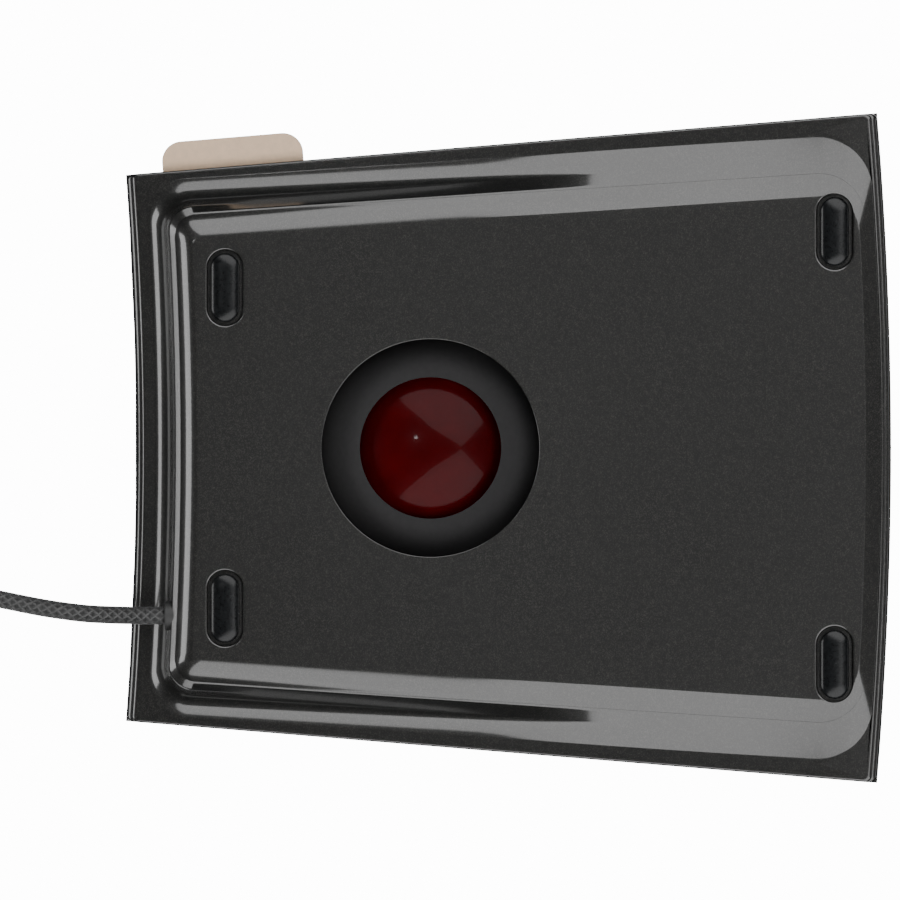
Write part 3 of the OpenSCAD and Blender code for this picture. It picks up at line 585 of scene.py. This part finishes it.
def edit_all(piece, *steps):
    """Runs edit-mode operators on the whole mesh. Each step is a callable."""
    pick(piece)
    bpy.ops.object.mode_set(mode="EDIT")
    bpy.ops.mesh.select_all(action="SELECT")
    for step in steps:
        step()
    bpy.ops.object.mode_set(mode="OBJECT")
    return piece


def weld(distance=1e-6):
    return lambda: bpy.ops.mesh.remove_doubles(threshold=distance)


def outward():
    bpy.ops.mesh.normals_make_consistent(inside=False)


def fill_open():
    bpy.ops.mesh.select_all(action="DESELECT")
    bpy.ops.mesh.select_non_manifold(extend=False, use_wire=False, use_boundary=True,
                                     use_multi_face=False, use_non_contiguous=False, use_verts=False)
    bpy.ops.mesh.fill_holes(sides=0)
    bpy.ops.mesh.select_all(action="SELECT")


def shade(piece, angle=32):
    pick(piece)
    bpy.ops.object.shade_smooth_by_angle(angle=math.radians(angle))
    return piece


def rolled(name, rings, closed=False):
    """A grid whose columns go round each ring, rolled up along its seam.

    With closed, the last ring meets the first.
    """
    around, along = len(rings[0]), len(rings)
    clear_selection()
    bpy.ops.mesh.primitive_grid_add(x_subdivisions=around, y_subdivisions=along - 1 + closed, size=1)
    piece = bpy.context.object
    rows = rings + [rings[0]] if closed else rings
    points = [ring[i % around] for ring in rows for i in range(around + 1)]
    if len(piece.data.vertices) != len(points):
        raise RuntimeError(f"{name}: the grid has {len(piece.data.vertices)} points, not {len(points)}")
    piece.data.vertices.foreach_set("co", np.array(points, np.float32).ravel())
    piece.data.update()
    return edit_all(settle(piece, name), weld())


def cut(piece, *cutters):
    """Takes the cutters out of the piece."""
    for cutter in cutters:
        modify(piece, "BOOLEAN", object=cutter, operation="DIFFERENCE", solver="EXACT")
        bpy.data.objects.remove(cutter)
    return piece


def flared_cutter(at, length, width, depth, flare, steps=64):
    """A round-ended cutter along X that widens to the base's flat in a quarter round."""
    spread = (length - width) / 2

    def ring(out, z):
        return stadium(at, spread, width / 2 + out, z, steps)

    clear = 0.0002
    rings = [ring(flare + clear, FLAT_Z - 0.001), ring(flare + clear, FLAT_Z)]
    for i in range(7):
        a = math.pi / 2 * i / 6
        rings.append(ring(flare * (1 - math.sin(a)), FLAT_Z + flare * (1 - math.cos(a))))
    rings.append(ring(0, FLAT_Z + depth))
    return edit_all(rolled("cutter", rings), fill_open, outward)


def bevel(piece, width, segments=3, angle=35):
    modify(piece, "BEVEL", width=width, segments=segments, limit_method="ANGLE",
           angle_limit=math.radians(angle), use_clamp_overlap=True, miter_outer="MITER_ARC")
    return piece


def softened(node, width, key, segments=3, angle=35):
    """A copy of a CAD node with its doubles merged, flat faces joined and edges rounded."""
    source = frame["nodes"][node]
    pick(source)
    bpy.ops.object.duplicate()
    piece = bpy.context.object
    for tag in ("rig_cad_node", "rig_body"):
        if tag in piece:
            del piece[tag]
    piece.parent = None
    settle(piece, node + "_shell")
    edit_all(piece, weld(2e-6), lambda: bpy.ops.mesh.dissolve_limited(angle_limit=math.radians(1.0)))
    bevel(piece, width, segments, angle)
    shade(piece)
    modify(piece, "WEIGHTED_NORMAL", keep_sharp=True, weight=80)
    dress(piece, key)
    finish_piece(piece, BODY_OF[node], SLOT_OF[node], node)
    return piece


BODY_OF = {n: b for b, members in frame["record"]["behaviour"]["bodies"].items() for n in members}
SLOT_OF = {s["node"]: s["material_slot"] for s in frame["record"]["subparts"]}


def finish_piece(piece, body, slot=None, *nodes):
    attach(piece, body)
    if nodes:
        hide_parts(*nodes)
    return piece


# ---- operators ----


class TRACKBALL_OT_stage(bpy.types.Operator):
    """Sets the camera under the trackball, the soft boxes and a floor that shows from above"""

    bl_idname = "trackball.stage"
    bl_label = "Stage"

    VIEW_W = 0.1779      # width of the view at the base
    AWAY = 2.4           # camera to the base
    AIM = (0.0004, 0.01145)
    BACKDROP = 14.0      # brightness of the pale room where the camera sees it
    ROOM = 0.05          # and as it lights the model

    def execute(self, context):
        make_materials(context.scene.trackball_finish)
        self.camera()
        self.boxes()
        self.floor()
        self.world(context)
        return {"FINISHED"}

    def camera(self):
        bpy.ops.object.camera_add(location=(*self.AIM, FLAT_Z - self.AWAY))
        cam = bpy.context.object
        cam.name = "underside_camera"
        right, up, back = Vector((0, -1, 0)), Vector((-1, 0, 0)), Vector((0, 0, -1))
        cam.rotation_euler = Matrix((right, up, back)).transposed().to_euler()
        cam.data.sensor_width = 36
        cam.data.lens = 36 * self.AWAY / self.VIEW_W
        cam.data.clip_start = 0.01
        cam.data.clip_end = 20
        bpy.context.scene.camera = cam

    def light(self, name, size, power, place, aim=(0, 0, 0), spread=180):
        bpy.ops.object.light_add(type="AREA", location=place)
        lamp = bpy.context.object
        lamp.name = name
        lamp.data.shape = "RECTANGLE"
        lamp.data.size, lamp.data.size_y = size
        lamp.data.energy = power
        lamp.data.spread = math.radians(spread)
        lamp.rotation_euler = (Vector(aim) - Vector(place)).to_track_quat("-Z", "Y").to_euler()
        return lamp

    # Corners of the soft box on the right, at its depth under the base; the left one mirrors it
    PANEL = ((0.02, -0.47), (0.3, 0.0), (0.8, 0.5), (1.46, 0.96), (2.2, 1.2), (2.4, -0.6), (0.82, -1.43))
    PANEL_DEPTH = -1.0
    PANEL_STRENGTH = 5.2
    # Size, power and place of each light
    BOXES = {
        "rear_box": ((1.2, 0.9), 26.0, (0.0, 1.75, -0.7)),
        "front_box": ((1.4, 0.3), 5.0, (0.0, -2.2, -0.35)),
        "top_box": ((1.2, 1.2), 14.0, (-0.3, -0.5, 1.3)),
        "top_fill": ((0.8, 0.8), 6.0, (0.9, 0.7, 0.9)),
    }
    # These light the base without a reflection of their own
    FILLS = {
        "under_fill": ((1.6, 1.6), 8.0, (0.3, 0.6, -1.8)),
        "front_fill": ((0.7, 0.7), 10.0, (0.35, -0.75, -1.2)),
    }

    def boxes(self):
        """Two soft boxes that meet at a corner in front, the lights round the model, and the ball's spot."""
        for side in SIDES:
            self.panel_light(f"side_box_{side}", [(side * x, y) for x, y in self.PANEL])
        for name, values in self.BOXES.items():
            self.light(name, *values)
        for name, values in self.FILLS.items():
            self.light(name, *values).visible_glossy = False
        self.light("ball_key", (0.09, 0.09), 0.0013, (-0.16, 0.24, -1.0), BALL_AT, spread=4)

    def panel_light(self, name, corners):
        """A glowing panel under the base with the given corners, seen only in reflections."""
        bpy.ops.mesh.primitive_circle_add(vertices=len(corners), fill_type="NGON")
        panel = bpy.context.object
        panel.name = name
        for vertex, (x, y) in zip(panel.data.vertices, corners, strict=True):
            vertex.co = (x, y, self.PANEL_DEPTH)
        f = Finish(name)
        glow = f.add("ShaderNodeEmission")
        strong = f.add("ShaderNodeMath", operation="MULTIPLY")
        strong.inputs[1].default_value = self.PANEL_STRENGTH
        f.links.new(f.range(f.noise(f.coords(), 1.2), 0.8, 1.1), strong.inputs[0])
        f.links.new(strong.outputs[0], glow.inputs["Strength"])
        f.links.new(glow.outputs["Emission"], f.nodes["Material Output"].inputs["Surface"])
        panel.data.materials.append(f.material)
        panel.visible_camera = False
        panel.visible_shadow = False
        panel.visible_diffuse = False

    def floor(self):
        """A pale floor seen only from above, so that the base stays in view from below."""
        bpy.ops.mesh.primitive_plane_add(size=8, location=(0, 0, -0.00005))
        plane = bpy.context.object
        plane.name = "floor"
        f = Finish("pale_floor")
        f.plug(f.ramp(f.noise(f.coords(), 3.0), (0.3, grey(0.78)), (0.7, grey(0.82))), "Base Color")
        f.set(Roughness=0.7)
        clear = f.add("ShaderNodeBsdfTransparent")
        mix = f.add("ShaderNodeMixShader")
        f.links.new(f.add("ShaderNodeNewGeometry").outputs["Backfacing"], mix.inputs["Fac"])
        f.links.new(f.shader.outputs["BSDF"], mix.inputs[1])
        f.links.new(clear.outputs["BSDF"], mix.inputs[2])
        f.links.new(mix.outputs["Shader"], f.nodes["Material Output"].inputs["Surface"])
        plane.data.materials.append(f.material)
        plane.visible_shadow = False
        plane.visible_glossy = False
        plane.visible_diffuse = False
        plane.visible_transmission = False

    def world(self, context):
        world = bpy.data.worlds.new("pale_room")
        context.scene.world = world
        world.use_nodes = True
        nodes, links = world.node_tree.nodes, world.node_tree.links
        seen, room = nodes["Background"], nodes.new("ShaderNodeBackground")
        seen.inputs["Color"].default_value = (1, 1, 1, 1)
        seen.inputs["Strength"].default_value = self.BACKDROP
        room.inputs["Color"].default_value = (0.9, 0.95, 1, 1)
        room.inputs["Strength"].default_value = self.ROOM
        mix = nodes.new("ShaderNodeMixShader")
        links.new(nodes.new("ShaderNodeLightPath").outputs["Is Camera Ray"], mix.inputs["Fac"])
        links.new(room.outputs["Background"], mix.inputs[1])
        links.new(seen.outputs["Background"], mix.inputs[2])
        links.new(mix.outputs["Shader"], nodes["World Output"].inputs["Surface"])


class TRACKBALL_OT_cord(bpy.types.Operator):
    """Sweeps the braided lead: its free stretch, the stored coil and the tail to the plug"""

    bl_idname = "trackball.cord"
    bl_label = "Braided lead"

    # The free stretch and the tail, in metres, as in the CAD source
    FREE = ((0.0332, 0.068, 0.007), (0.0332, 0.072, 0.0066), (0.0331, 0.077, 0.005), (0.0328, 0.083, 0.003),
            (0.0322, 0.088, 0.002), (0.0314, 0.093, 0.0018), (0.0302, 0.099, 0.0018),
            (0.029, 0.105, 0.0018), (0.0283, 0.111, 0.0018), (0.028, 0.117, 0.0018),
            (0.028, 0.122, 0.0018), (0.028, 0.127, 0.0018))
    TAIL = ((-0.014, 0.1588, 0.0116), (-0.02, 0.1595, 0.009), (-0.026, 0.1625, 0.006),
            (-0.0295, 0.168, 0.0044), (-0.028, 0.1745, 0.004), (-0.0225, 0.178, 0.004),
            (-0.016, 0.1785, 0.004), (-0.012, 0.1785, 0.004))
    LAYERS = 4           # turns side by side, and layers of them
    CHANGE = 0.16        # share of a turn in which the lead moves to its next place
    STEPS = 90           # points in a turn
    SPACING = 0.45       # length of one stretch of the lead, in diameters
    ROUND = 10           # faces round the lead

    def execute(self, context):
        cord = context.scene.trackball_cord
        route = self.route(cord)
        spaced = self.even(route, cord.diameter * self.SPACING)
        piece = self.sweep(spaced, cord.diameter / 2)
        dress(piece, "braid")
        finish_piece(piece, "root", "cord_black", "cord_lead", "cord_coil")
        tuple(self.FREE[0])
        return {"FINISHED"}

    def coil(self, cord):
        """Points of the wound turns, layer on layer, each layer wound back across the one under it."""
        low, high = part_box("cord_coil")
        centre = (low + high) / 2
        step = cord.diameter
        outer = (high.x - low.x) / 2 - step / 2
        slots = []
        for layer in range(self.LAYERS):
            radii = [outer - k * step for k in range(self.LAYERS)]
            z = low.z + step / 2 + layer * step
            slots += [(r, z) for r in (radii if layer % 2 == 0 else radii[::-1])]
        points = []
        count = int(cord.turns * self.STEPS)
        for i in range(count + 1):
            turn = i / self.STEPS
            k = min(int(turn), len(slots) - 1)
            nxt = slots[min(k + 1, len(slots) - 1)]
            t = max(0.0, (turn - k - 1 + self.CHANGE) / self.CHANGE)
            t = t * t * (3 - 2 * t)
            r, z = (slots[k][0] + (nxt[0] - slots[k][0]) * t, slots[k][1] + (nxt[1] - slots[k][1]) * t)
            a = 2 * math.pi * turn
            points.append(Vector((centre.x + r * math.cos(a), centre.y + r * math.sin(a), z)))
        return points

    def route(self, cord):
        turns = self.coil(cord)
        free = [Vector(p) for p in self.FREE]
        tail = [Vector(p) for p in self.TAIL]
        lead = self.smooth([*free, turns[0]], turns[5])
        out = self.smooth([turns[-1], *tail], None, turns[-6])
        return lead[:-1] + turns + out[1:]

    def smooth(self, p, after=None, before=None, per=10):
        """A curve through the points, with the directions before and after them."""
        points = []
        for i in range(len(p) - 1):
            a = p[i - 1] if i else (before or p[0])
            d = p[i + 2] if i + 2 < len(p) else (after or p[-1])
            for k in range(per):
                t = k / per
                b, c = p[i], p[i + 1]
                points.append(0.5 * (2 * b + (c - a) * t + (2 * a - 5 * b + 4 * c - d) * t * t
                                     + (3 * b - a - 3 * c + d) * t ** 3))
        return points + [p[-1]]

    def even(self, points, step):
        line = np.array(points)
        along = np.concatenate([[0], np.cumsum(np.linalg.norm(np.diff(line, axis=0), axis=1))])
        at = np.linspace(0, along[-1], int(along[-1] / step) + 1)
        return [Vector([float(np.interp(s, along, line[:, k])) for k in range(3)]) for s in at]

    def sweep(self, path, r):
        rings = []
        side = Vector((1, 0, 0))
        for i, p in enumerate(path):
            way = (path[min(i + 1, len(path) - 1)] - path[max(i - 1, 0)]).normalized()
            side = (side - way * side.dot(way)).normalized()
            rise = way.cross(side)
            rings.append([p + r * (math.cos(a) * side + math.sin(a) * rise)
                          for a in (2 * math.pi * k / self.ROUND for k in range(self.ROUND))])
        piece = rolled("braided_lead", rings)
        edit_all(piece, fill_open, outward)
        return shade(piece, 60)


class TRACKBALL_OT_base_pan(bpy.types.Operator):
    """Models the flat base pan with its rounded rim, foot recesses and ball opening"""

    bl_idname = "trackball.base_pan"
    bl_label = "Base pan"

    THICK = 0.0022
    RECESS = 0.0008
    RIM = 0.0012         # recess wider than the foot by this
    FLARE = 0.0005       # rounded edge of the recesses and the opening

    def execute(self, context):
        case = context.scene.trackball_case
        plan, profile = Plan(case), Profile(case)
        rim, steps = Profile.RIM, 22
        rings = [flat_loop(plan.wall(-0.12), FLAT_Z)]
        rings += [wall_ring(plan, profile, rim * i / steps) for i in range(steps + 1)]
        rings += [wall_ring(plan, profile, f, self.THICK) for f in (rim, rim - 0.17)]
        rings.append(flat_loop(plan.wall(-0.03), FLAT_Z + self.THICK))
        piece = rolled("base_pan_shell", rings)
        edit_all(piece, fill_open, outward)
        opening = 2 * case.hole_r
        cutters = [flared_cutter(BALL_AT, opening, opening, 0.02, self.FLARE / 3, 160)]
        for end in ENDS:
            for side in ("left", "right"):
                low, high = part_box(f"foot_{end}_{side}")
                cutters.append(flared_cutter((low + high) / 2, high.x - low.x + self.RIM,
                                             high.y - low.y + self.RIM, self.RECESS, self.FLARE))
        cut(piece, *cutters)
        shade(piece, 30)
        modify(piece, "WEIGHTED_NORMAL", keep_sharp=True, weight=90)
        dress(piece, "case")
        finish_piece(piece, "root", "case_dark", "base_pan")
        return {"FINISHED"}

class TRACKBALL_OT_lower_case(bpy.types.Operator):
    """Models the lower case: step wall, fillet, sloping flange and its rounded edge"""

    bl_idname = "trackball.lower_case"
    bl_label = "Lower case"

    GAP_F = 0.003        # seam between the pan and the step wall, as a share of the wall's plan width
    END_F = 1.06         # the wall's rings run on a little over the flange
    STEPS = 70
    SKIN_F = 0.13        # the wall's thickness in plan, as a share of its plan width, and in height
    SKIN_H = 0.0012
    INNER = (0.9, 0.8, 0.7, Profile.FILLET, 0.5, 0.44)  # rings of the wall's inner face
    EDGE = 0.002         # height of the outer edge
    FLAT = 0.0002        # flat strip between the two roundings of the ends
    LIP = 0.0005         # rounded edge along the sides, and its height at the ends
    END_LIP = 0.0009     # the same rounding is wider at the ends
    END_STEP = 0.0012    # and stands this far inside the outer edge
    HOLD = 0.0003        # flat strip inside the rounding that keeps the flange's shading flat

    def execute(self, context):
        case = context.scene.trackball_case
        plan, profile = Plan(case), Profile(case)
        start = Profile.RIM + self.GAP_F
        stops = [start + (self.END_F - start) * i / self.STEPS for i in range(self.STEPS + 1)]

        def edge(side, end, lift):
            return [Vector((p.x, p.y, FLAT_Z + profile.step(p.y) + lift)) for p in plan.outline(side, end)]

        rings = [wall_ring(plan, profile, f) for f in stops]
        rings.append(edge(self.LIP + self.HOLD, self.END_STEP + self.END_LIP + self.HOLD, 0))
        turns = [math.pi / 2 * i / 6 for i in range(7)]
        for a in turns:
            share = 1 - math.sin(a)
            rings.append(edge(self.LIP * share, self.END_STEP + self.END_LIP * share,
                              self.LIP * (1 - math.cos(a))))
        foot = self.LIP + self.FLAT
        for a in turns:
            rings.append(edge(0, self.END_STEP * (1 - math.sin(a)),
                              foot + (self.EDGE - foot) * (1 - math.cos(a))))
        rings.append(edge(0.0001, 0.0001, self.EDGE))
        rings.append(wall_ring(plan, profile, 1.0 - self.SKIN_F * 0.5, self.EDGE, 1.0))
        rings += [wall_ring(plan, profile, f - self.SKIN_F, self.SKIN_H, f) for f in self.INNER]
        piece = rolled("lower_case_shell", rings, closed=True)
        edit_all(piece, outward)
        low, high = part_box("cord_grommet")
        r = (high.x - low.x) / 2 + 0.00005
        clear_selection()
        bpy.ops.mesh.primitive_cylinder_add(vertices=48, radius=r, depth=0.03, location=(low + high) / 2,
                                            rotation=(math.pi / 2, 0, 0))
        cut(piece, settle(bpy.context.object, "cutter"))
        shade(piece, 40)
        modify(piece, "WEIGHTED_NORMAL", keep_sharp=True, weight=60)
        dress(piece, "case")
        finish_piece(piece, "root", "case_dark", "lower_case")
        return {"FINISHED"}


class TRACKBALL_OT_upper_shells(bpy.types.Operator):
    """Rounds the edges of the top case, the four key plates and the bezel ring"""

    bl_idname = "trackball.upper_shells"
    bl_label = "Top case, keys and bezel"

    def execute(self, context):
        softened("top_case", 0.0004, "case")
        for end in ENDS:
            for side in ("left", "right"):
                softened(f"key_{end}_{side}", 0.0006, "case", 4)
        softened("bezel_ring", 0.0008, "bezel", 5)
        return {"FINISHED"}


class TRACKBALL_OT_ball(bpy.types.Operator):
    """Models the polished ball and its cup with the bearings"""

    bl_idname = "trackball.ball"
    bl_label = "Ball and cup"

    def execute(self, context):
        low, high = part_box("ball")
        clear_selection()
        bpy.ops.mesh.primitive_cube_add(size=high.x - low.x, location=BALL_AT)
        piece = bpy.context.object
        modify(piece, "SUBSURF", levels=6, render_levels=6)
        modify(piece, "CAST", cast_type="SPHERE", factor=1.0, radius=0, size=(high.x - low.x) / 2,
               use_radius_as_size=False)
        settle(piece, "resin_ball")
        pick(piece)
        bpy.ops.object.shade_smooth()
        dress(piece, "ball")
        finish_piece(piece, "ball", "ball_red", "ball")
        softened("ball_cup", 0.0005, "cup", 4)
        dress(frame["nodes"]["support_bearings"], "ruby")
        return {"FINISHED"}


class TRACKBALL_OT_feet(bpy.types.Operator):
    """Models the four oblong rubber feet"""

    bl_idname = "trackball.feet"
    bl_label = "Rubber feet"

    CROWN = 0.0009       # rise of the pad's middle over its edge
    STEPS = 10           # rings from the edge to the middle

    def execute(self, context):
        for end in ENDS:
            for side in ("left", "right"):
                self.foot(f"foot_{end}_{side}")
        return {"FINISHED"}

    def foot(self, node):
        low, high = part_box(node)
        at, r = (low + high) / 2, (high.y - low.y) / 2
        spread = (high.x - low.x) / 2 - r
        rings = [stadium(at, spread, r, high.z)]
        for i in range(self.STEPS + 1):
            share = math.cos(math.pi / 2 * i / self.STEPS)
            z = low.z + self.CROWN * (1 - math.sqrt(1 - share ** 2))
            rings.append(stadium(at, spread, share * r, z))
        piece = rolled(node + "_pad", rings)
        edit_all(piece, fill_open, outward)
        shade(piece, 40)
        dress(piece, "rubber")
        finish_piece(piece, "root", "foot_rubber", node)


class TRACKBALL_OT_card(bpy.types.Operator):
    """Rounds the label card and its guide"""

    bl_idname = "trackball.card"
    bl_label = "Label card"

    def execute(self, context):
        softened("label_card", 0.00012, "card", 2)
        softened("card_guide", 0.0002, "black", 2)
        return {"FINISHED"}


class TRACKBALL_OT_inner_parts(bpy.types.Operator):
    """Gives the boards, switches, sensors and screws their finishes"""

    bl_idname = "trackball.inner_parts"
    bl_label = "Inner parts"

    LOOKS = {
        "steel": ("key_hinge_pins", "bezel_screws", "cup_screws", "case_screws", "board_screws",
                  "sensor_screws", "clamp_screw"),
        "board": ("main_board", "sensor_boards"),
        "black": ("controller_chip", "sounder", "micro_switches", "sensor_chips", "sensor_leads",
                  "cord_clamp"),
        "tin": ("board_parts",),
        "lens": ("sensor_lenses",),
        "white": ("cord_header",),
        "red": ("plunger_front_left", "plunger_front_right", "plunger_rear_left",
                "plunger_rear_right"),
        "grommet": ("inner_lead",),
    }

    def execute(self, context):
        for key, nodes in self.LOOKS.items():
            for node in nodes:
                dress(frame["nodes"][node], key)
        return {"FINISHED"}


class TRACKBALL_OT_plug(bpy.types.Operator):
    """Dresses the plug, the coil's tie and the grommet"""

    bl_idname = "trackball.plug"
    bl_label = "Plug, tie and grommet"

    LOOKS = {"plug_body": "plug", "plug_shell": "shell", "plug_tongue": "white", "plug_contacts": "gold",
             "coil_tie": "black"}

    def execute(self, context):
        for node, key in self.LOOKS.items():
            dress(frame["nodes"][node], key)
        softened("cord_grommet", 0.0004, "grommet", 4)
        return {"FINISHED"}


class TRACKBALL_PT_panel(bpy.types.Panel):
    """Lists the trackball's pieces in the sidebar"""

    bl_label = "Trackball mouse"
    bl_idname = "TRACKBALL_PT_panel"
    bl_space_type = "VIEW_3D"
    bl_region_type = "UI"
    bl_category = "Trackball"

    def draw(self, context):
        for group in ("trackball_case", "trackball_finish", "trackball_cord"):
            settings = getattr(context.scene, group)
            box = self.layout.box()
            for name in settings.__annotations__:
                box.prop(settings, name)
        for operator in OPERATORS:
            self.layout.operator(operator.bl_idname)


GROUPS = {"trackball_case": TrackballCase, "trackball_finish": TrackballFinish,
          "trackball_cord": TrackballCord}
OPERATORS = (TRACKBALL_OT_stage, TRACKBALL_OT_cord, TRACKBALL_OT_base_pan, TRACKBALL_OT_lower_case,
             TRACKBALL_OT_upper_shells, TRACKBALL_OT_ball, TRACKBALL_OT_feet, TRACKBALL_OT_card,
             TRACKBALL_OT_inner_parts, TRACKBALL_OT_plug)


def register():
    for cls in (*GROUPS.values(), *OPERATORS, TRACKBALL_PT_panel):
        bpy.utils.register_class(cls)
    for name, cls in GROUPS.items():
        setattr(bpy.types.Scene, name, bpy.props.PointerProperty(type=cls))


def unregister():
    for name in GROUPS:
        delattr(bpy.types.Scene, name)
    for cls in (TRACKBALL_PT_panel, *reversed(OPERATORS), *GROUPS.values()):
        bpy.utils.unregister_class(cls)


def main():
    register()
    for operator in OPERATORS:
        group, name = operator.bl_idname.split(".")
        getattr(getattr(bpy.ops, group), name)()


if __name__ == "__main__":
    main()
